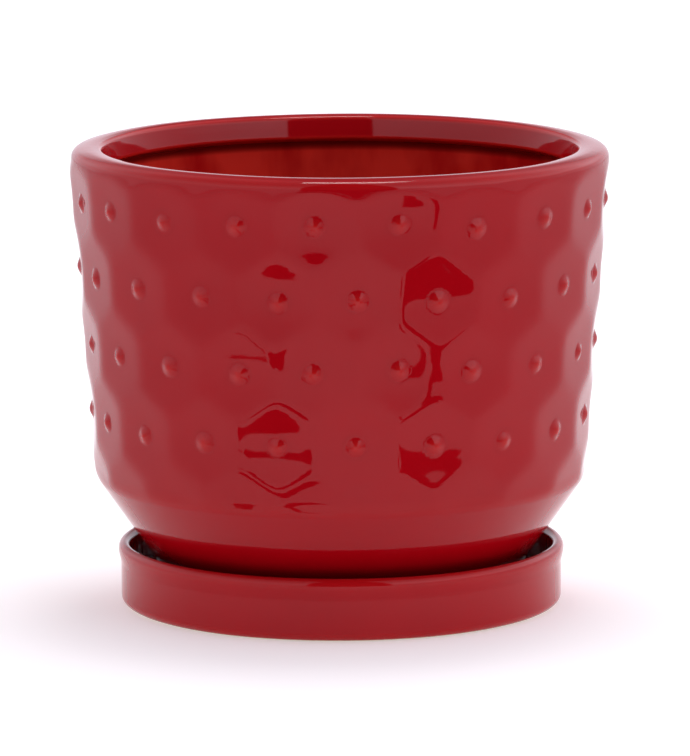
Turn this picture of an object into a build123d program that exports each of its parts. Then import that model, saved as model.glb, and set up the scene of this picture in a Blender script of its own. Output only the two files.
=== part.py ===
from build123d import *
import os
from math import atan, cos, degrees, radians, sin

os.makedirs("parts", exist_ok=True)

# Glazed earthenware planter standing in its own round saucer.
# Millimetres, +Z up. The origin is the centre of the saucer's underside, on
# the surface that the planter stands on. The front is -Y.

# ---------------------------------------------------------------- saucer
saucer_height = 23.6        # to the top of the rolled lip
saucer_lip_radius = 84.45   # widest part of the lip
saucer_wall_radius = 83.5   # outside of the wall under the lip
saucer_mouth_radius = 79.65  # inside edge of the lip
saucer_well_radius = 78.6   # inside wall, where it meets the floor's cove
saucer_floor_top = 6.5      # the pot stands on this face
saucer_cove = 4.0           # cove between the floor and the inside wall
saucer_base_round = 3.2     # rounded corner at the foot of the wall
saucer_foot_inner = 66.0    # inner radius of the foot band it stands on
saucer_foot_height = 1.4    # recess inside the foot band

# ------------------------------------------------------------------- pot
pot_top = 174.0
rim_round_outer = 4.4       # rounding of the rim's outer edge
rim_round_inner = 1.6       # rounding of the rim's inner edge
rim_inner_radius = 88.65    # inside face of the collar
collar_bottom = 165.4       # lower edge of the collar inside the rim
collar_edge_round = 1.0
wall_taper = 0.0711         # loss of radius for each mm down the wall
corner_radius = 93.03       # where the wall meets the chamfered base
corner_height = 49.76
corner_round = 9.0
base_taper = 0.7018         # loss of radius for each mm down the chamfer
foot_round = 1.4
foot_recess = 2.6           # height of the hollow inside the foot ring
foot_ring_width = 7.5
wall_thickness = 7.6        # measured from the plain outside
floor_thickness = 8.0
floor_cove = 7.0
inner_corner_round = 14.0
drain_radius = 8.0
notch_width = 9.0           # drainage notches through the foot ring
notch_height = 1.5

# ---------------------------------------------------------------- relief
dish_count = 20             # dished cells around each row
row_heights = (155.8, 128.4, 101.2, 73.9)
row_turns = (-5.0, 4.0, -5.0, 4.0)   # degrees from the front towards +X
dish_sphere = 86.0          # radius of the sphere that each cell is part of
dish_depth = 1.25
dish_reach = 14.8           # the cells stay just clear of each other
nub_height = 1.5            # above the bottom of its dish
nub_base_radius = 4.2

# Derived heights and radii
foot_plane = saucer_floor_top


def wall_radius(z):
    """Plain outside radius of the wall at a height, before the relief."""
    return corner_radius + wall_taper * (z - corner_height)


def base_radius(z):
    """Outside radius of the chamfered base at a height."""
    return corner_radius - base_taper * (corner_height - z)


foot_radius = base_radius(foot_plane)
underside = foot_plane + foot_recess
floor_top = underside + floor_thickness
nub_ball = (nub_base_radius**2 + nub_height**2) / (2 * nub_height)

# ------------------------------------------------------------- the saucer
with BuildPart() as saucer:
    with BuildSketch(Plane.XZ):
        with BuildLine():
            # underside: recess, foot band, rounded corner, wall
            FilletPolyline(
                (0, saucer_foot_height),
                (saucer_foot_inner - 1.0, saucer_foot_height),
                (saucer_foot_inner, 0),
                (saucer_wall_radius, 0),
                (saucer_wall_radius, saucer_height - 8.6),
                radius=[0.8, 0.5, saucer_base_round],
            )
            # shallow neck below the rolled lip
            Spline(
                (saucer_wall_radius, saucer_height - 8.6),
                (saucer_wall_radius + 0.42, saucer_height - 6.0),
                (saucer_lip_radius, saucer_height - 2.9),
                tangents=[(0, 1), (0.04, 1)],
            )
            lip_mid = (saucer_lip_radius + saucer_mouth_radius) / 2
            Spline(
                (saucer_lip_radius, saucer_height - 2.9),
                (saucer_lip_radius - 0.75, saucer_height - 0.92),
                (lip_mid, saucer_height),
                (saucer_mouth_radius + 0.75, saucer_height - 0.92),
                (saucer_mouth_radius, saucer_height - 2.9),
                tangents=[(0.04, 1), (-0.02, -1)],
            )
            # inside wall, cove and floor
            FilletPolyline(
                (saucer_mouth_radius, saucer_height - 2.9),
                (saucer_well_radius, saucer_floor_top),
                (0, saucer_floor_top),
                radius=[saucer_cove],
            )
            Line((0, saucer_floor_top), (0, saucer_foot_height))
        make_face()
    revolve(axis=Axis.Z)

# ------------------------------------------------- tools for the relief
# A shallow dish is part of a sphere. Each tool stands on its own origin, with
# +Z along the wall's outward normal.
with BuildPart() as dish_tool:
    with BuildSketch(Plane.XZ):
        with BuildLine():
            dish_edge = dish_sphere - (dish_sphere**2 - dish_reach**2) ** 0.5
            RadiusArc((0, 0), (dish_reach, dish_edge), -dish_sphere)
            Polyline((dish_reach, dish_edge), (dish_reach, 4), (0, 4), (0, 0))
        make_face()
    revolve(axis=Axis.Z)

# A nub is the cap of a small ball, sunk into the wall below the dish.
with BuildPart() as nub_tool:
    with BuildSketch(Plane.XZ):
        with BuildLine():
            nub_drop = (nub_ball**2 - nub_height**2) ** 0.5
            Line((0, -2.5), (0, nub_height))
            ThreePointArc(
                (0, nub_height),
                (nub_ball * sin(radians(30)), nub_height - nub_ball * (1 - cos(radians(30)))),
                (nub_ball * sin(radians(60)), nub_height - nub_ball * (1 - cos(radians(60)))),
            )
            Polyline(
                (nub_ball * sin(radians(60)), nub_height - nub_ball * (1 - cos(radians(60)))),
                (nub_ball * sin(radians(60)), -2.5),
                (0, -2.5),
            )
        make_face()
    revolve(axis=Axis.Z)

tilt = atan(wall_taper)
dish_planes = []
for z_row, turn in zip(row_heights, row_turns):
    for step in range(dish_count):
        a = radians(turn - 90 + step * 360 / dish_count)
        out = Vector(cos(a) * cos(tilt), sin(a) * cos(tilt), -sin(tilt))
        on_wall = Vector(wall_radius(z_row) * cos(a), wall_radius(z_row) * sin(a), z_row)
        dish_planes.append(Plane(origin=on_wall - out * dish_depth,
                                 x_dir=(-sin(a), cos(a), 0), z_dir=out))

# ---------------------------------------------------------------- the pot
with BuildPart() as pot:
    # plain outside, as one solid blank
    with BuildSketch(Plane.XZ):
        with BuildLine():
            FilletPolyline(
                (0, foot_plane),
                (foot_radius, foot_plane),
                (corner_radius, corner_height),
                (wall_radius(pot_top), pot_top),
                (0, pot_top),
                radius=[foot_round, corner_round, rim_round_outer],
            )
            Line((0, pot_top), (0, foot_plane))
        make_face()
    revolve(axis=Axis.Z)

    # four staggered rows of shallow dished cells
    with Locations(*dish_planes):
        add(dish_tool.part, mode=Mode.SUBTRACT)

    # one rounded nub in the middle of each cell
    with Locations(*dish_planes):
        add(nub_tool.part)

    # planting space: collar, undercut, tapered wall, cove and floor
    inner_wall = lambda z: wall_radius(z) - wall_thickness / cos(tilt)
    inner_base = lambda z: base_radius(z) - wall_thickness / cos(atan(base_taper))
    # height where the two inner tapers meet
    meet = corner_height + (
        wall_thickness / cos(atan(base_taper)) - wall_thickness / cos(tilt)
    ) / (base_taper - wall_taper)
    collar_under = collar_bottom - 2.6
    with BuildSketch(Plane.XZ):
        with BuildLine():
            FilletPolyline(
                (0, floor_top),
                (inner_base(floor_top), floor_top),
                (inner_wall(meet), meet),
                (inner_wall(collar_under), collar_under),
                (rim_inner_radius, collar_bottom),
                (rim_inner_radius, pot_top - rim_round_inner),
                radius=[floor_cove, inner_corner_round, 2.0, collar_edge_round],
            )
            RadiusArc(
                (rim_inner_radius, pot_top - rim_round_inner),
                (rim_inner_radius + rim_round_inner, pot_top),
                rim_round_inner,
            )
            Polyline(
                (rim_inner_radius + rim_round_inner, pot_top),
                (rim_inner_radius + rim_round_inner, pot_top + 2),
                (0, pot_top + 2),
                (0, floor_top),
            )
        make_face()
    revolve(axis=Axis.Z, mode=Mode.SUBTRACT)

    # hollow inside the foot ring
    ring_inner = foot_radius - foot_ring_width
    with BuildSketch(Plane.XZ):
        with BuildLine():
            FilletPolyline(
                (0, foot_plane - 1),
                (ring_inner - 0.6, foot_plane - 1),
                (ring_inner - 1.8, underside),
                (0, underside),
                radius=[0.2, 1.5],
            )
            Line((0, underside), (0, foot_plane - 1))
        make_face()
    revolve(axis=Axis.Z, mode=Mode.SUBTRACT)

    # drain hole
    with Locations((0, 0, (underside + floor_top) / 2)):
        Cylinder(drain_radius, floor_thickness + 4, mode=Mode.SUBTRACT)

    # three notches that let the water out under the foot ring
    with BuildSketch(Plane.XY.offset(foot_plane)):
        with PolarLocations(foot_radius - foot_ring_width / 2 - 0.5, 3, start_angle=30):
            Rectangle(foot_ring_width + 8, notch_width)
    extrude(amount=notch_height, mode=Mode.SUBTRACT)

saucer.part.label = "saucer"
pot.part.label = "pot"
export_step(saucer.part, "parts/saucer.step")
export_step(pot.part, "parts/pot.step")

for piece in (saucer, pot):
    box = piece.part.bounding_box()
    print(piece.part.label, "solids", len(piece.part.solids()),
          "faces", len(piece.part.faces()),
          "volume cm3", round(piece.part.volume / 1000, 1),
          "z", round(box.min.Z, 3), round(box.max.Z, 3),
          "x", round(box.min.X, 3), round(box.max.X, 3))
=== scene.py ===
from math import atan, cos, degrees, pi, radians, sin, tan

import bpy
import numpy as np
from mathutils import Matrix, Vector


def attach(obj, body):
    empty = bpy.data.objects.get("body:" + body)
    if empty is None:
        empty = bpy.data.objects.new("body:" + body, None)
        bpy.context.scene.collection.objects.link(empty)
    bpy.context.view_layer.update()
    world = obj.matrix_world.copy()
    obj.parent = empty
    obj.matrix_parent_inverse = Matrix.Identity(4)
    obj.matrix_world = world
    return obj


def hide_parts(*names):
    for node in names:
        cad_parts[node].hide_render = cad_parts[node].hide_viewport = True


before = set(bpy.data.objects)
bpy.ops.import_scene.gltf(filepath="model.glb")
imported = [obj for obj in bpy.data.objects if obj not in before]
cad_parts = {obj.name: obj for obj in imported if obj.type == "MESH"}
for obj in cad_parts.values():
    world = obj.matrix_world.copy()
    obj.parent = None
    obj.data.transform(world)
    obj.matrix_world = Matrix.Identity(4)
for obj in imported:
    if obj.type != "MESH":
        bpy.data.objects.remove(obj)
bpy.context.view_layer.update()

MM = 0.001
scene = bpy.context.scene


# =====================================================================
# Profiles: a path of straight runs with rounded corners, in millimetres
# =====================================================================
def rounded_path(points, closed, step=0.04):
    """points: (r, z, corner radius). Returns the path as dense points."""
    pts = [np.array(p[:2], float) for p in points]
    rad = [p[2] for p in points]
    n = len(pts)
    out = []

    def run(a, b):
        length = np.linalg.norm(b - a)
        k = max(1, int(length / step))
        for t in range(k):
            out.append(a + (b - a) * t / k)

    ends = []
    for i in range(n):
        if not closed and i in (0, n - 1):
            ends.append((pts[i], pts[i], None))
            continue
        p, a, b = pts[i], pts[i - 1], pts[(i + 1) % n]
        u = (a - p) / np.linalg.norm(a - p)
        v = (b - p) / np.linalg.norm(b - p)
        half = np.arccos(np.clip(u @ v, -1, 1)) / 2
        if rad[i] <= 0 or half > pi / 2 - 1e-3:
            ends.append((p, p, None))
            continue
        back = min(rad[i] / tan(half), 0.49 * np.linalg.norm(a - p), 0.49 * np.linalg.norm(b - p))
        r = back * tan(half)
        centre = p + (u + v) / np.linalg.norm(u + v) * (r / sin(half))
        ends.append((p + u * back, p + v * back, (centre, r)))
    for i in range(n):
        enter, leave, arc = ends[i]
        if arc is not None:
            centre, r = arc
            a0 = np.arctan2(*(enter - centre)[::-1])
            a1 = np.arctan2(*(leave - centre)[::-1])
            d = (a1 - a0 + pi) % (2 * pi) - pi
            k = max(4, int(abs(d) * r / step), int(abs(d) / radians(1.0)))
            for t in range(k):
                a = a0 + d * t / k
                out.append(centre + r * np.array([cos(a), sin(a)]))
        elif closed or i < n - 1:
            pass
        if closed or i < n - 1:
            run(leave, ends[(i + 1) % n][0])
    if not closed:
        out.append(pts[-1])
    return np.array(out)


class Path:
    """A dense path with its length, smooth outward normal and curvature."""

    def __init__(self, pts, closed):
        keep = [0]
        for i in range(1, len(pts)):
            if np.linalg.norm(pts[i] - pts[keep[-1]]) > 1e-4:
                keep.append(i)
        pts = pts[keep]
        if closed and np.linalg.norm(pts[-1] - pts[0]) > 1e-4:
            pts = np.vstack([pts, pts[:1]])
        self.closed = closed
        seg = np.linalg.norm(np.diff(pts, axis=0), axis=1)
        s = np.concatenate([[0], np.cumsum(seg)])
        self.length = s[-1]
        # even points
        n = int(self.length / 0.05)
        self.s = np.linspace(0, self.length, n + 1)
        self.p = np.stack([np.interp(self.s, s, pts[:, c]) for c in (0, 1)], 1)

    def at(self, s):
        if self.closed:
            s = np.mod(s, self.length)
        else:
            s = np.clip(s, 0, self.length)
        return np.interp(s, self.s, self.p[:, 0]), np.interp(s, self.s, self.p[:, 1])

    def tangent(self, s, h=0.12):
        if not self.closed:
            s = np.clip(s, h, self.length - h)
        r1, z1 = self.at(s + h)
        r0, z0 = self.at(s - h)
        d = np.hypot(r1 - r0, z1 - z0)
        return (r1 - r0) / d, (z1 - z0) / d

    def curvature(self, s, h=0.25):
        t1 = np.array(self.tangent(s + h, 0.1))
        t0 = np.array(self.tangent(s - h, 0.1))
        cross = t0[0] * t1[1] - t0[1] * t1[0]
        return np.arcsin(np.clip(cross, -1, 1)) / (2 * h)


def path_rows(path, limit):
    """Places rows along a path: close on tight rounds, wide on flats. limit(r, z, s) is the widest spacing."""
    s = np.arange(0, path.length, 0.1)
    k = np.abs(path.curvature(s))
    r, z = path.at(s)
    gap = np.minimum(np.clip(0.20 / np.maximum(k, 1e-6), 0.28, 6.0), limit(r, z, s))
    # spacing grows slowly away from a tight place
    log_gap = np.log(gap)
    for _ in range(2):
        for i in range(1, len(s)):
            log_gap[i] = min(log_gap[i], log_gap[i - 1] + 0.1 * 0.30 / np.exp(log_gap[i - 1]))
        for i in range(len(s) - 2, -1, -1):
            log_gap[i] = min(log_gap[i], log_gap[i + 1] + 0.1 * 0.30 / np.exp(log_gap[i + 1]))
    gap = np.exp(log_gap)
    q = np.concatenate([[0], np.cumsum(0.1 / gap)])
    n = int(np.ceil(q[-1]))
    rows = np.interp(np.linspace(0, q[-1], n + 1), q, np.append(s, path.length))
    return rows[:-1] if path.closed else rows


def smooth_step(x, a, b):
    t = np.clip((x - a) / (b - a), 0, 1)
    return t * t * (3 - 2 * t)


# =====================================================================
# Pot: driving sizes, as in the CAD model (millimetres)
# =====================================================================
FOOT, TOP = 6.5, 174.0
CORNER_R, CORNER_Z = 93.03, 49.76
TAPER, BASE_TAPER = 0.0711, 0.7018


def wall_r(z):
    return CORNER_R + TAPER * (z - CORNER_Z)


def base_r(z):
    return CORNER_R - BASE_TAPER * (CORNER_Z - z)


foot_r = base_r(FOOT)
ring_in = foot_r - 7.5
under_z = FOOT + 2.6
floor_z = under_z + 8.0
in_wall = lambda z: wall_r(z) - 7.6 / cos(atan(TAPER))
in_base = lambda z: base_r(z) - 7.6 / cos(atan(BASE_TAPER))
meet = CORNER_Z + (7.6 / cos(atan(BASE_TAPER)) - 7.6 / cos(atan(TAPER))) / (BASE_TAPER - TAPER)

pot_points = [
    # outside, from the underside of the hole outwards
    (8.0, under_z, 0.7),
    (ring_in - 1.8, under_z, 1.5),
    (ring_in - 0.6, FOOT, 0.9),
    (foot_r, FOOT, 1.4),
    (CORNER_R, CORNER_Z, 9.0),
    # the wall eases over a slight shoulder into the rounded rim
    (wall_r(168.0) + 0.26, 168.0, 26.0),
    (wall_r(168.0) - 0.62, TOP - 1.05, 4.4),
    # gently crowned top of the rim, then the collar inside it
    (94.7, TOP + 0.18, 17.0),
    (89.75, TOP - 0.55, 1.8),
    (88.95, 169.4, 12.0),
    (88.2, 165.2, 1.0),
    (in_wall(162.2) - 0.6, 162.9, 1.4),
    (in_wall(160.8), 160.8, 4.0),
    (in_wall(meet), meet, 14.0),
    (in_base(floor_z), floor_z, 7.0),
    (8.0, floor_z, 1.2),
]
pot_path = Path(rounded_path(pot_points, True), True)

# ---------------------------------------------------------------------
# Relief: staggered rows of dished cells that meet in soft ridges. The
# first and last rows are cut off by the rim and by the base, and their
# nubs are not on the pot.
# ---------------------------------------------------------------------
ROWS = [(183.1, 4.0), (155.8, -5.0), (128.4, 4.0), (101.2, -5.0), (73.9, 4.0), (46.6, -5.0)]
AROUND = 20
PITCH = 2 * pi / AROUND
DISH_DEPTH, DISH_R, RIDGE_SOFT = 1.1, 104.0, 0.41
NUB_H, NUB_R = 1.35, 4.4
# a nub's section: a low cone with a rounded tip and a filleted foot
_q = np.linspace(0, 1, 101)
_slope = smooth_step(_q, -0.04, 0.40) * (1 - smooth_step(_q, 0.76, 1.0))
NUB_SECTION = 1 - np.concatenate([[0], np.cumsum((_slope[1:] + _slope[:-1]) / 2)])
NUB_SECTION = (NUB_SECTION - NUB_SECTION[-1]) / (NUB_SECTION[0] - NUB_SECTION[-1])

# where the cells of the front half sit: angle from the front in degrees
# and height in millimetres, row by row
SEEN = {
    1: ((-74.9, -58.1, -40.3, -22.3, -5.3, 12.7, 30.2, 49.1, 67.4, 85.8),
        (155.6, 155.9, 155.2, 156.0, 156.6, 157.2, 154.2, 155.1, 154.6, 154.3)),
    2: ((-68.2, -49.5, -31.3, -13.3, 3.8, 21.5, 39.7, 57.8, 76.5),
        (128.7, 128.8, 129.0, 128.2, 129.1, 128.0, 126.9, 127.9, 128.1)),
    3: ((-76.0, -58.7, -40.8, -22.7, -6.0, 13.0, 30.2, 48.9, 67.8, 85.8),
        (102.0, 101.4, 101.3, 100.9, 101.9, 102.8, 101.0, 100.3, 100.5, 100.8)),
    4: ((-85.3, -67.9, -50.4, -32.1, -14.3, 3.4, 21.6, 39.9, 58.2, 77.0),
        (74.9, 74.2, 73.5, 74.2, 74.2, 74.6, 74.0, 73.2, 73.3, 74.3)),
}
rng = np.random.default_rng(20)
CELL_A = np.zeros((len(ROWS), AROUND))
CELL_Z = np.zeros((len(ROWS), AROUND))
CELL_D = np.zeros((len(ROWS), AROUND))
NUB_SIZE = np.zeros((len(ROWS), AROUND))
for i, (zr, turn) in enumerate(ROWS):
    CELL_A[i] = radians(turn) + PITCH * np.arange(AROUND) + radians(0.45) * rng.standard_normal(AROUND)
    CELL_Z[i] = zr + 0.45 * rng.standard_normal(AROUND)
    CELL_D[i] = 0.04 * rng.standard_normal(AROUND)
    NUB_SIZE[i] = 1 + 0.06 * rng.standard_normal(AROUND)
    for a, z in zip(*SEEN.get(i, ((), ()))):
        k = int(np.rint((radians(a) - radians(turn)) / PITCH)) % AROUND
        CELL_A[i, k], CELL_Z[i, k] = radians(a), z
ROW_R = np.array([wall_r(z) for z, _ in ROWS])


def relief(th, z):
    """(height over the plain wall, distance to the nearest nub) at an angle and a height."""
    vals, near, size = [], np.full(th.shape, 1e9), np.ones(th.shape)
    for i, (zr, turn) in enumerate(ROWS):
        k0 = np.rint((th - radians(turn)) / PITCH).astype(int)
        for dk in (-1, 0, 1):
            k = (k0 + dk) % AROUND
            dt = (th - CELL_A[i][k] + pi) % (2 * pi) - pi
            d2 = (ROW_R[i] * dt) ** 2 + (z - CELL_Z[i][k]) ** 2
            vals.append(-DISH_DEPTH + CELL_D[i][k] + d2 / (2 * DISH_R))
            if 1 <= i <= 4:
                closer = d2 < near
                near = np.where(closer, d2, near)
                size = np.where(closer, NUB_SIZE[i][k], size)
    v = np.array(vals)
    m = v.min(0)
    h = m - RIDGE_SOFT * np.log(np.exp(-(v - m) / RIDGE_SOFT).sum(0))
    near = np.sqrt(near)
    h = h + NUB_H * size * np.interp(near / (NUB_R * size), _q, NUB_SECTION)
    return h, near


def wobble(th, seed, amount, waves=(2, 3, 5, 7)):
    """Slow hand-made unevenness around the axis."""
    g = np.random.default_rng(seed)
    out = np.zeros_like(th)
    for w in waves:
        out = out + g.standard_normal() * np.cos(w * th + g.uniform(0, 2 * pi)) / w
    return amount * out


# where along the path each part begins
_s = pot_path.s
_r, _z = pot_path.p[:, 0], pot_path.p[:, 1]
s_foot = _s[np.argmax((_r > foot_r - 2.0) & (_z < FOOT + 0.3))]
s_top = _s[np.argmax((_z > TOP - 0.3) & (_s > s_foot))]
i_in = np.argmax((_s > s_top + 2) & (_z < 168.0))
s_collar = _s[i_in]
s_under = _s[np.argmax((_s > s_collar) & (_z < 163.4) & (_r > 90.5))]
s_floor = _s[np.argmax((_s > s_under) & (_z < floor_z + 6))]


def pot_surface(th, s):
    """Point of the pot's surface for an angle and a place along the path."""
    r, z = pot_path.at(s)
    tr, tz = pot_path.tangent(s, 0.35)
    nr, nz = tz, -tr                     # outward normal in the profile's plane
    outside = (s > s_foot) & (s < s_top)
    h, near = relief(th, z)
    fade = smooth_step(z, 47.2, 52.6) * (1 - smooth_step(z, 166.6, 172.0))
    d = np.where(outside, h * fade, 0.0)
    # inside wall: a soft echo of the dishes and the thickness of poured clay
    inside = (s > s_under) & (s < s_floor)
    echo_fade = smooth_step(z, 56.0, 64.0) * (1 - smooth_step(z, 156.0, 162.0))
    v = 0.09 * np.cos(AROUND * th + 0.6 + z * 0.09) * np.cos((z - 20) * 0.115)
    v = v + wobble(th + z * 0.004, 5, 0.22, (2, 3, 5, 8))
    d = np.where(inside, d + v * echo_fade, d)
    # rim and collar: very slight unevenness
    rim = np.exp(-(((s - (s_top + s_collar) / 2) / 22.0) ** 2))
    dz = wobble(th, 3, 0.12) * rim
    dr = wobble(th, 9, 0.16) * (rim + 0.5 * smooth_step(z, 20, 60))
    # collar's lower edge runs a little uneven where glaze gathered
    lip = np.exp(-(((s - s_under + 2.5) / 3.0) ** 2))
    dz = dz + wobble(th, 12, 0.35, (3, 5, 8, 13)) * lip
    # drainage notches through the foot ring
    notch = np.zeros_like(th)
    for a in (30, 150, 270):
        t0 = radians(a) + pi / 2
        off = ((th - t0 + pi) % (2 * pi) - pi) * 59.0
        notch = np.maximum(notch, 1 - smooth_step(np.abs(off), 3.9, 5.3))
    ring = smooth_step(s, s_foot - 12.5, s_foot - 9.0)
    low = np.clip((FOOT + 3.2 - z) / 3.2, 0, 1)
    dz = dz + 1.5 * notch * low * np.where(s < s_foot + 8, ring, 0.0)
    rr = r + d * nr + dr
    zz = z + d * nz + dz
    return np.stack([rr * np.sin(th), -rr * np.cos(th), zz], -1)


def pot_limit(r, z, s):
    gap = np.full(r.shape, 3.4)
    on_wall = (s > s_foot) & (s < s_top) & (z > 46.0)
    g = np.full(r.shape, 2.2)
    for zr, _ in ROWS[1:5]:
        g = np.minimum(g, np.where(np.abs(z - zr) < 4.8, 0.80, 2.2))
    gap = np.where(on_wall, g, gap)
    gap = np.where((s > s_under) & (z > 60), 4.2, gap)
    gap = np.where(s > s_floor, 5.0, gap)
    return gap


def closed_rings(path, rows, fine, surface, warp, around):
    """Rings of points and the faces between them, closed along the path and around."""
    rings, start = [], []
    total = 0
    coords, angles, along = [], [], []
    for s in rows:
        n = 2 * around if fine(s) else around
        th = np.arange(n) * 2 * pi / n
        if n > around:
            th = warp(th, s)
        rings.append(n)
        start.append(total)
        total += n
        angles.append(th)
        along.append(np.full(n, s))
    th, s = np.concatenate(angles), np.concatenate(along)
    p = surface(th, s)
    e = 0.08
    rr = np.maximum(np.hypot(p[:, 0], p[:, 1]), 5.0)
    dth = surface(th + e / rr, s) - surface(th - e / rr, s)
    ds = surface(th, s + e) - surface(th, s - e)
    nrm = np.cross(dth, ds)
    nrm /= np.linalg.norm(nrm, axis=1, keepdims=True)
    faces = []
    m = len(rows)
    for i in range(m if path.closed else m - 1):
        a, b = start[i], start[(i + 1) % m]
        na, nb = rings[i], rings[(i + 1) % m]
        if na == nb:
            j = np.arange(na)
            k = (j + 1) % na
            faces.append(np.stack([a + j, a + k, b + k, b + j], 1))
        elif na == 2 * nb:
            j = np.arange(nb)
            k = (j + 1) % nb
            f0, f1, f2 = a + 2 * j, a + 2 * j + 1, a + (2 * j + 2) % na
            faces.append(np.stack([f0, f1, b + j], 1))
            faces.append(np.stack([f1, b + k, b + j], 1))
            faces.append(np.stack([f1, f2, b + k], 1))
        else:
            j = np.arange(na)
            k = (j + 1) % na
            f0, f1, f2 = b + 2 * j, b + 2 * j + 1, b + (2 * j + 2) % nb
            faces.append(np.stack([a + j, f1, f0], 1))
            faces.append(np.stack([a + j, a + k, f1], 1))
            faces.append(np.stack([a + k, f2, f1], 1))
    return p, nrm, faces, th, s


def make_mesh(name, p, nrm, faces, attributes, material):
    mesh = bpy.data.meshes.new(name)
    counts = np.concatenate([np.full(len(f), f.shape[1]) for f in faces])
    index = np.concatenate([f.ravel() for f in faces])
    starts = np.concatenate([[0], np.cumsum(counts)[:-1]])
    mesh.vertices.add(len(p))
    mesh.vertices.foreach_set("co", (p * MM).astype(np.float32).ravel())
    mesh.loops.add(len(index))
    mesh.loops.foreach_set("vertex_index", index.astype(np.int32))
    mesh.polygons.add(len(counts))
    mesh.polygons.foreach_set("loop_start", starts.astype(np.int32))
    mesh.polygons.foreach_set("use_smooth", np.ones(len(counts), dtype=bool))
    mesh.update(calc_edges=True)
    mesh.validate()
    for key, val in attributes.items():
        at = mesh.attributes.new(key, "FLOAT", "POINT")
        at.data.foreach_set("value", np.asarray(val, np.float32))
    mesh.normals_split_custom_set_from_vertices([tuple(v) for v in nrm])
    mesh.materials.append(material)
    ob = bpy.data.objects.new(name, mesh)
    scene.collection.objects.link(ob)
    return ob


# =====================================================================
# Materials
# =====================================================================
def new_material(name):
    mat = bpy.data.materials.new(name)
    mat.use_nodes = True
    nt = mat.node_tree
    nt.nodes.clear()
    return mat, nt


def link(nt, a, b):
    nt.links.new(a, b)


def node(nt, kind, **values):
    n = nt.nodes.new(kind)
    for k, v in values.items():
        if k.startswith("in_"):
            key = k[3:]
            sock = n.inputs[int(key)] if key.isdigit() else n.inputs[key.replace("_", " ")]
            sock.default_value = v
        else:
            setattr(n, k, v)
    return n


def mix_colour(nt, fac, a, b, blend="MIX"):
    m = nt.nodes.new("ShaderNodeMix")
    m.data_type = "RGBA"
    m.blend_type = blend
    m.clamp_factor = True
    for sock, val in ((m.inputs[0], fac), (m.inputs[6], a), (m.inputs[7], b)):
        if isinstance(val, (int, float)):
            sock.default_value = val
        elif isinstance(val, tuple):
            sock.default_value = (*val, 1.0)
        else:
            link(nt, val, sock)
    return m.outputs[2]


def maths(nt, op, a, b=None, c=None, clamp=False):
    m = nt.nodes.new("ShaderNodeMath")
    m.operation = op
    m.use_clamp = clamp
    for i, val in enumerate((a, b, c)):
        if val is None:
            continue
        if isinstance(val, (int, float)):
            m.inputs[i].default_value = val
        else:
            link(nt, val, m.inputs[i])
    return m.outputs[0]


def remap(nt, x, a, b, c, d):
    m = nt.nodes.new("ShaderNodeMapRange")
    m.clamp = True
    m.inputs[1].default_value, m.inputs[2].default_value = a, b
    m.inputs[3].default_value, m.inputs[4].default_value = c, d
    link(nt, x, m.inputs[0])
    return m.outputs[0]


def noise(nt, vec, scale, detail=2.0, rough=0.5, seed=0.0):
    n = nt.nodes.new("ShaderNodeTexNoise")
    n.noise_dimensions = "4D"
    n.inputs["W"].default_value = seed
    n.inputs["Scale"].default_value = scale
    n.inputs["Detail"].default_value = detail
    n.inputs["Roughness"].default_value = rough
    link(nt, vec, n.inputs["Vector"])
    return n.outputs["Fac"]


GLAZE_IOR = 1.34
RED = (0.350, 0.0009, 0.0047)
# deeper red where glaze pools round the nubs; also the first step of the painted shade
RED_POOL_AND_SHADE = (0.305, 0.0006, 0.0040)
RED_THIN = (0.500, 0.0150, 0.0110)
# inside: a lit and a shaded copy of the red; the lit one is painted light standing in for red light bouncing inside
# the pot
RED_INSIDE_LIT = (0.600, 0.0290, 0.0180)
RED_INSIDE_SHADED = (0.370, 0.0035, 0.0050)
# painted shade: near-black red for the gap around the foot, the recess under the collar and the saucer's well
RED_PAINTED_SHADE = (0.040, 0.0002, 0.0006)


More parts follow.
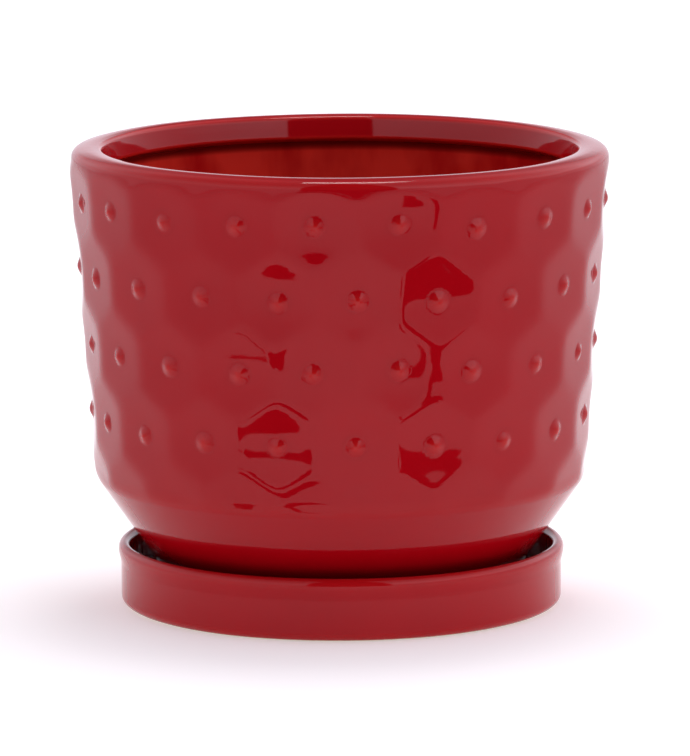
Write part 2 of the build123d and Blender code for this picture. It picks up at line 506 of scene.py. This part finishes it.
def glaze_material(name, seed):
    mat, nt = new_material(name)
    out = node(nt, "ShaderNodeOutputMaterial")
    bsdf = node(nt, "ShaderNodeBsdfPrincipled")
    bsdf.inputs["IOR"].default_value = GLAZE_IOR
    bsdf.inputs["Metallic"].default_value = 0.0
    link(nt, bsdf.outputs[0], out.inputs[0])
    geo = node(nt, "ShaderNodeTexCoord")
    vec = geo.outputs["Object"]
    thin = node(nt, "ShaderNodeAttribute", attribute_name="thin").outputs["Fac"]
    pool_and_shade = node(nt, "ShaderNodeAttribute", attribute_name="pool_and_shade").outputs["Fac"]
    bare = node(nt, "ShaderNodeAttribute", attribute_name="bare").outputs["Fac"]
    inner = node(nt, "ShaderNodeAttribute", attribute_name="inner").outputs["Fac"]

    clouds = noise(nt, vec, 26.0, 3.0, 0.55, seed)
    fine = noise(nt, vec, 210.0, 3.0, 0.6, seed + 3)
    # noise for the painted light patches inside the pot
    light_patch_map = node(nt, "ShaderNodeMapping")
    light_patch_map.inputs["Scale"].default_value = (1.0, 1.0, 0.45)
    link(nt, vec, light_patch_map.inputs["Vector"])
    light_patch_noise = noise(nt, light_patch_map.outputs[0], 34.0, 4.0, 0.5, seed + 7)

    # colour: body colour; deeper where glaze pools round the nubs, and painted shade in the gap around the foot,
    # under the collar and in the saucer's well; lighter where it runs thin
    c = mix_colour(nt, remap(nt, clouds, 0.36, 0.66, 0.0, 1.0), tuple(x * 0.965 for x in RED), tuple(x * 1.035 for x in RED))
    c = mix_colour(nt, maths(nt, "MULTIPLY", pool_and_shade, remap(nt, fine, 0.3, 0.7, 0.75, 1.0), clamp=True), c, RED_POOL_AND_SHADE)
    thin_f = maths(nt, "MULTIPLY", thin, remap(nt, clouds, 0.3, 0.7, 0.7, 1.0))
    c = mix_colour(nt, thin_f, c, RED_THIN)
    # painted light: the inside is a lighter, orange copy of the red that stands in for red light bouncing inside the
    # pot, in soft patches that are strongest under the collar and even out further down
    height = node(nt, "ShaderNodeSeparateXYZ")
    link(nt, vec, height.inputs[0])
    upper = remap(nt, height.outputs[2], 0.085, 0.140, 0.15, 1.0)
    patch = remap(nt, light_patch_noise, 0.41, 0.56, -0.35, 0.65)
    patch = maths(nt, "ADD", maths(nt, "MULTIPLY", patch, upper), 0.35)
    inner_c = mix_colour(nt, patch, RED_INSIDE_SHADED, RED_INSIDE_LIT)
    c = mix_colour(nt, inner, c, inner_c)
    # painted shade: near-black red low in the gap around the foot, in the recess under the collar and down in the
    # saucer's well
    c = mix_colour(nt, maths(nt, "SUBTRACT", pool_and_shade, 1.0, clamp=True), c, RED_PAINTED_SHADE)

    # unglazed clay with fine grog on the foot
    edge = maths(nt, "ADD", bare, remap(nt, fine, 0.3, 0.7, -0.16, 0.16))
    bare_f = remap(nt, edge, 0.44, 0.56, 0.0, 1.0)
    grog = noise(nt, vec, 900.0, 4.0, 0.7, seed + 11)
    clay = mix_colour(nt, remap(nt, grog, 0.35, 0.68, 0.0, 1.0), (0.60, 0.47, 0.36), (0.74, 0.63, 0.52))
    c = mix_colour(nt, bare_f, c, clay)
    link(nt, c, bsdf.inputs["Base Color"])

    rough = remap(nt, clouds, 0.3, 0.7, 0.028, 0.050)
    rough = maths(nt, "ADD", rough, maths(nt, "MULTIPLY", bare_f, 0.78))
    link(nt, rough, bsdf.inputs["Roughness"])

    # surface: very low, slow ripple of the fired glaze; grain on bare clay
    b1 = node(nt, "ShaderNodeBump")
    b1.inputs["Strength"].default_value = 1.0
    b1.inputs["Distance"].default_value = 0.00005
    ripple = noise(nt, vec, 95.0, 1.5, 0.45, seed + 17)
    link(nt, ripple, b1.inputs["Height"])
    b2 = node(nt, "ShaderNodeBump")
    b2.inputs["Distance"].default_value = 0.00018
    link(nt, bare_f, b2.inputs["Strength"])
    link(nt, grog, b2.inputs["Height"])
    link(nt, b1.outputs[0], b2.inputs["Normal"])
    link(nt, b2.outputs[0], bsdf.inputs["Normal"])
    return mat


pot_mat = glaze_material("pot_glaze_red", 1.0)
saucer_mat = glaze_material("saucer_glaze_red", 6.0)

# =====================================================================
# Pot mesh
# =====================================================================
pot_rows = path_rows(pot_path, pot_limit)
_rows_z = pot_path.at(pot_rows)[1]
fine_from = pot_rows[np.argmax((pot_rows > s_foot) & (_rows_z > 46.5))]
fine_to = pot_rows[np.argmax((pot_rows > fine_from) & (_rows_z > 171.6))]


def pot_fine(s):
    return fine_from <= s <= fine_to


def pot_warp(th, s):
    """Draws the columns closer together across the nubs of the nearest row."""
    _, z = pot_path.at(s)
    i = int(np.argmin([abs(z - zr) for zr, _ in ROWS[1:5]])) + 1
    zr, turn = ROWS[i]
    amount = 0.5 * max(0.0, cos(min(abs(z - zr) / 13.0, 1.0) * pi / 2)) ** 1.5
    return th - (amount / AROUND) * np.sin(AROUND * (th - radians(turn)))


p, nrm, faces, th, s = closed_rings(pot_path, pot_rows, pot_fine, pot_surface, pot_warp, 250)
r0, z0 = pot_path.at(s)
h, near = relief(th, z0)
outside = (s > s_foot) & (s < s_top)
fade = smooth_step(z0, 47.2, 52.6) * (1 - smooth_step(z0, 166.6, 172.0))
k = np.abs(pot_path.curvature(s, 0.5))
thin = np.where(outside, fade * 0.55 * np.exp(-((near / 2.4) ** 2)), 0.0)
sharp = np.clip(pot_path.curvature(s, 0.4) * 1.15, 0, 1)
thin = np.maximum(thin, np.where(s > s_foot + 4, sharp * 0.8, 0.0))
# glaze pools in a ring round each nub's foot
pool_and_shade = np.where(outside, fade * np.exp(-(((near - 4.6) / 1.3) ** 2)) * 0.8, 0.0)
# painted shade: below 36 mm the outside darkens towards the foot, to near-black red low in the gap inside the saucer;
# above that it keeps an even light share of the pooled red
pool_and_shade = np.maximum(pool_and_shade, np.where(outside & (s > s_foot + 3), 2.0 - 1.6 * smooth_step(z0, 14.0, 36.0), 0.0))
# painted shade in the recess under the collar
pool_and_shade = np.maximum(pool_and_shade, 1.8 * np.exp(-(((s - s_under - 1.5) / 3.6) ** 2)))
inner = smooth_step(s, s_under - 0.5, s_under + 3.0)
bare = smooth_step(s, s_foot - 11.5, s_foot - 10.3) * (1 - smooth_step(s, s_foot + 2.6, s_foot + 3.4))
bare = np.where(s > s_foot + 8, 0, bare)
pot_ob = make_mesh("pot_glazed_body", p, nrm, faces, {"thin": thin, "pool_and_shade": pool_and_shade, "inner": inner, "bare": bare}, pot_mat)
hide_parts("pot")
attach(pot_ob, "pot_body")
print("pot rows", len(pot_rows), "verts", len(p), "triangles",
      sum(len(f) * (f.shape[1] - 2) for f in faces))

# =====================================================================
# Saucer mesh
# =====================================================================
S_H, S_LIP, S_WALL, S_MOUTH, S_WELL, S_FLOOR = 23.6, 84.45, 83.5, 79.65, 78.6, 6.5


def bezier(p0, p1, p2, p3, n=60):
    t = np.linspace(0, 1, n)[:, None]
    p0, p1, p2, p3 = (np.array(q, float) for q in (p0, p1, p2, p3))
    return (1 - t) ** 3 * p0 + 3 * (1 - t) ** 2 * t * p1 + 3 * (1 - t) * t**2 * p2 + t**3 * p3


low = rounded_path([
    (0, 1.4, 0), (65.0, 1.4, 0.8), (66.0, 0.0, 0.5), (S_WALL, 0.0, 3.2), (S_WALL, S_H - 8.6, 0),
], False)
neck = bezier((S_WALL, S_H - 8.6), (S_WALL + 0.0, S_H - 6.6), (S_LIP - 0.05, S_H - 5.2), (S_LIP, S_H - 2.9))
bead_out = bezier((S_LIP, S_H - 2.9), (S_LIP + 0.05, S_H - 1.2), (83.3, S_H), (82.0, S_H))
bead_in = bezier((82.0, S_H), (80.8, S_H), (S_MOUTH + 0.05, S_H - 1.2), (S_MOUTH, S_H - 2.9))
well = rounded_path([(S_MOUTH, S_H - 2.9, 0), (S_WELL, S_FLOOR, 4.0), (0, S_FLOOR, 0)], False)
saucer_path = Path(np.vstack([low, neck, bead_out, bead_in, well]), False)
_ss = saucer_path.s
_sr, _sz = saucer_path.p[:, 0], saucer_path.p[:, 1]
ss_band = _ss[np.argmax((_sr > 66.0) & (_sz < 0.1))]
ss_corner = _ss[np.argmax(_sr > S_WALL - 2.2)]
ss_top = _ss[np.argmax(_sz > S_H - 0.02)]
ss_well = _ss[np.argmax((_ss > ss_top) & (_sz < S_FLOOR + 5))]


def saucer_surface(th, s):
    r, z = saucer_path.at(s)
    lip = np.exp(-(((s - ss_top) / 12.0) ** 2))
    dz = wobble(th, 31, 0.10) * lip
    dr = wobble(th, 37, 0.14) * smooth_step(r, 60, 78)
    # inside wall: glaze ran down in soft ribs
    ribs = 0.07 * np.cos(46 * th + 3 * np.sin(7 * th)) + 0.05 * np.cos(71 * th + 1.3)
    dr = dr + ribs * smooth_step(s, ss_top + 3.5, ss_top + 8.0) * (1 - smooth_step(s, ss_well - 2.0, ss_well + 6.0))
    rr = r + dr
    return np.stack([rr * np.sin(th), -rr * np.cos(th), z + dz], -1)


def saucer_limit(r, z, s):
    gap = np.full(r.shape, 2.2)
    gap = np.where(r < 60, 5.5, gap)
    return gap


saucer_rows = path_rows(saucer_path, saucer_limit)
saucer_rows = saucer_rows[(saucer_rows > 1.0) & (saucer_rows < saucer_path.length - 1.0)]
p, nrm, faces, th, s = closed_rings(saucer_path, saucer_rows, lambda s: False, saucer_surface, None, 360)
n_ring = 360
# close both ends with a fan on the axis
p = np.vstack([p, [[0, 0, 1.4], [0, 0, S_FLOOR]]])
nrm = np.vstack([nrm, [[0, 0, -1], [0, 0, 1]]])
a, b = len(p) - 2, len(p) - 1
j = np.arange(n_ring)
k = (j + 1) % n_ring
last = len(p) - 2 - n_ring
faces.append(np.stack([np.full(n_ring, a), k, j], 1))
faces.append(np.stack([last + j, last + k, np.full(n_ring, b)], 1))
s = np.append(s, [0, saucer_path.length])
r0, z0 = saucer_path.at(s)
sharp = np.clip(saucer_path.curvature(s, 0.4) * 0.9, 0, 1)
thin = np.where(s > ss_corner - 2, sharp * 0.7, 0)
# painted shade: the saucer's inside darkens from under the lip down across the well, where the pot shades it
pool_and_shade = 1.7 * smooth_step(s, ss_top + 7.0, ss_well + 4.0) * (1 - smooth_step(s, ss_well + 22.0, ss_well + 34.0))
bare = smooth_step(s, ss_band - 0.8, ss_band + 0.4) * (1 - smooth_step(s, ss_corner + 0.2, ss_corner + 1.0))
saucer_ob = make_mesh("saucer_glazed_body", p, nrm, faces,
                      {"thin": thin, "pool_and_shade": pool_and_shade, "inner": np.zeros(len(s)), "bare": bare}, saucer_mat)
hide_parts("saucer")
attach(saucer_ob, "saucer_body")
print("saucer rows", len(saucer_rows), "verts", len(p), "triangles",
      sum(len(f) * (f.shape[1] - 2) for f in faces))

# =====================================================================
# Floor
# =====================================================================
floor_mat, nt = new_material("pale_floor")
out = node(nt, "ShaderNodeOutputMaterial")
bsdf = node(nt, "ShaderNodeBsdfPrincipled")
bsdf.inputs["Roughness"].default_value = 0.75
bsdf.inputs["IOR"].default_value = 1.2
vec = node(nt, "ShaderNodeTexCoord").outputs["Object"]
tone = noise(nt, vec, 1.4, 2.0, 0.5, 2.0)
link(nt, mix_colour(nt, tone, (0.885, 0.885, 0.89), (0.90, 0.90, 0.905)), bsdf.inputs["Base Color"])
# painted light: a strip of the floor about 0.35 m wide (fading out by about 0.85 m), from 1 to 1.5 m in front of the
# pot back under it and on behind, glows with no lamp under it, lifting the floor and filling the pot's shadow
bsdf.inputs["Emission Color"].default_value = (1.0, 1.0, 1.0, 1.0)
f_sep = node(nt, "ShaderNodeSeparateXYZ")
link(nt, vec, f_sep.inputs[0])
f_half = maths(nt, "SUBTRACT", maths(nt, "ABSOLUTE", f_sep.outputs[0]), maths(nt, "MULTIPLY", f_sep.outputs[1], 0.05))
glow = maths(nt, "MULTIPLY", remap(nt, f_half, 0.17, 0.42, 0.25, 0.0), remap(nt, f_sep.outputs[1], -1.5, -1.0, 0.0, 1.0))
link(nt, glow, bsdf.inputs["Emission Strength"])
link(nt, bsdf.outputs[0], out.inputs[0])
mesh = bpy.data.meshes.new("floor")
W = 6.0
mesh.from_pydata([(-W, -W, -0.0003), (W, -W, -0.0003), (W, W, -0.0003), (-W, W, -0.0003)], [], [(0, 1, 2, 3)])
mesh.materials.append(floor_mat)
floor = bpy.data.objects.new("floor", mesh)
scene.collection.objects.link(floor)


# =====================================================================
# Light
# =====================================================================
def area(name, at, aim, width, height, radiance, colour=(1, 1, 1), glossy=True, diffuse=True):
    """A soft box of a given brightness, aimed at a point. Metres."""
    data = bpy.data.lights.new(name, "AREA")
    data.shape = "RECTANGLE"
    data.size, data.size_y = width, height
    data.energy = radiance * width * height * pi
    data.color = colour
    ob = bpy.data.objects.new(name, data)
    scene.collection.objects.link(ob)
    d = Vector(aim) - Vector(at)
    ob.matrix_world = Matrix.Translation(at) @ d.to_track_quat("-Z", "Y").to_matrix().to_4x4()
    ob.visible_camera = False
    ob.visible_glossy = glossy
    ob.visible_diffuse = diffuse
    return ob


COOL = (0.99, 0.96, 1.055)
# softbox straight above, a little behind
area("top_box", (0.05, 0.19, 1.25), (0.02, 0.0, 0.0), 0.36, 0.36, 9.0)
# wash for the table behind the pot
area("back_wash", (0.0, 2.3, 1.9), (0.0, 1.2, 0.0), 3.0, 1.6, 1.5, glossy=False)

# Black cards lying low in front, which only the glaze sees
card_mat, nt = new_material("black_card")
out = node(nt, "ShaderNodeOutputMaterial")
bsdf = node(nt, "ShaderNodeBsdfPrincipled")
bsdf.inputs["Base Color"].default_value = (0.008, 0.008, 0.008, 1.0)
bsdf.inputs["Roughness"].default_value = 0.9
bsdf.inputs["Specular IOR Level"].default_value = 0.1
link(nt, bsdf.outputs[0], out.inputs[0])


def dark_card(name, outline, height=1.5):
    """A flat card from its outline in millimetres: x, distance in front of the axis."""
    mesh = bpy.data.meshes.new(name)
    mesh.from_pydata([(x * MM, -y * MM, height * MM) for x, y in outline], [], [tuple(range(len(outline)))])
    mesh.materials.append(card_mat)
    ob = bpy.data.objects.new(name, mesh)
    scene.collection.objects.link(ob)
    ob.visible_camera = ob.visible_diffuse = ob.visible_shadow = ob.visible_transmission = False
    return ob


dark_card("card_left", [(-190, 330), (-194, 292), (-172, 278), (-152, 300), (-128, 305), (-112, 296), (-92, 306), (-98, 346), (-114, 374), (-138, 368), (-162, 338)])
dark_card("card_left_strip", [(-228, 252), (-221, 246), (-197, 280), (-203, 286)])
dark_card("card_left_near", [(-192, 234), (-150, 246), (-104, 248), (-62, 238), (-28, 216), (-34, 197), (-70, 208), (-104, 215), (-140, 211), (-182, 206)])
dark_card("card_front", [(-395, 1350), (-60, 1350), (60, 2000), (560, 2000), (1500, 3400), (-1080, 3400)], 0.8)
dark_card("card_right", [(128, 279), (197, 270), (236, 254), (252, 286), (309, 284), (353, 312), (343, 351), (309, 386), (291, 446),
                         (326, 506), (369, 591), (347, 617), (300, 531), (257, 463), (240, 424), (206, 345), (160, 306)])
dark_card("card_right_strip", [(150, 306), (160, 312), (186, 372), (212, 436), (198, 440), (170, 372)])

# The rest of the studio is a soft white surround, open at the front where
# the picture is taken from. The world's direction gives its brightness.
FRONT_GAP = (-17.0, 25.0)      # degrees from the front, left and right edge
world = bpy.data.worlds.new("studio")
scene.world = world
world.use_nodes = True
wt = world.node_tree
wt.nodes.clear()
w_out = node(wt, "ShaderNodeOutputWorld")
w_bg = node(wt, "ShaderNodeBackground")
link(wt, w_bg.outputs[0], w_out.inputs[0])
w_dir = node(wt, "ShaderNodeTexCoord").outputs["Generated"]
w_sep = node(wt, "ShaderNodeSeparateXYZ")
link(wt, w_dir, w_sep.inputs[0])
wx, wy, wz = w_sep.outputs
az = maths(wt, "MULTIPLY", maths(wt, "ARCTAN2", wx, maths(wt, "MULTIPLY", wy, -1.0)), 180 / pi)
el = maths(wt, "MULTIPLY", maths(wt, "ARCSINE", wz), 180 / pi)
abs_az = maths(wt, "ABSOLUTE", az)


def ramp(x, a, b, lo=0.0, hi=1.0):
    return remap(wt, x, a, b, lo, hi)


# side walls: brightest low down, softer towards the top
side = maths(wt, "MULTIPLY", ramp(el, 8.0, 55.0, 1.75, 0.60), ramp(az, -20.0, 40.0, 0.90, 1.30))
# behind: dimmer, and nearly dark in a low band above the table's far edge
behind = ramp(abs_az, 142.0, 177.0)
back_level = ramp(el, 30.0, 70.0, 0.10, 0.50)
level = maths(wt, "ADD", maths(wt, "MULTIPLY", side, maths(wt, "SUBTRACT", 1.0, behind)), maths(wt, "MULTIPLY", back_level, behind))
# the table's far edge and the foot of the backdrop, seen low down
low = ramp(el, 9.0, 18.0, 1.0, 0.0)
level = maths(wt, "ADD", maths(wt, "MULTIPLY", level, maths(wt, "SUBTRACT", 1.0, low)), maths(wt, "MULTIPLY", low, 1.05))
# open front
gap = maths(wt, "MULTIPLY", ramp(az, FRONT_GAP[0] - 0.5, FRONT_GAP[0] + 0.5), ramp(az, FRONT_GAP[1] - 0.5, FRONT_GAP[1] + 0.5, 1.0, 0.0))
gap = maths(wt, "MULTIPLY", gap, ramp(el, 84.0, 88.0, 1.0, 0.0))
level = maths(wt, "MULTIPLY", level, maths(wt, "SUBTRACT", 1.0, maths(wt, "MULTIPLY", gap, 0.97)))
w_bg.inputs[0].default_value = (*COOL, 1.0)
link(wt, level, w_bg.inputs[1])

# =====================================================================
# Camera: 690 x 756 frame
# =====================================================================
ELEV = 9.3165
AIM = Vector((0, 0, 0.08503))
DIST = 2.6066
FOCAL_PX = 6892.08
cam_data = bpy.data.cameras.new("camera")
cam_data.sensor_fit = "VERTICAL"
cam_data.sensor_height = 24.0
cam_data.lens = FOCAL_PX * 24.0 / 756.0
cam_data.clip_start, cam_data.clip_end = 0.05, 50
cam = bpy.data.objects.new("camera", cam_data)
scene.collection.objects.link(cam)
e = radians(ELEV)
look = Vector((0, cos(e), -sin(e)))
turn = look.to_track_quat("-Z", "Y").to_matrix().to_4x4()
cam.matrix_world = Matrix.Translation(AIM - look * DIST + Vector((0.00174, 0, 0))) @ turn @ Matrix.Rotation(radians(-0.2013), 4, "Z")
scene.camera = cam

# =====================================================================
# Picture settings
# =====================================================================
scene.view_settings.view_transform = "Standard"
scene.view_settings.look = "None"
scene.view_settings.exposure = 0.0
scene.view_settings.gamma = 1.0
scene.cycles.use_denoising = True
scene.cycles.max_bounces = 14
scene.cycles.diffuse_bounces = 5
scene.cycles.glossy_bounces = 8
scene.cycles.sample_clamp_indirect = 6.0
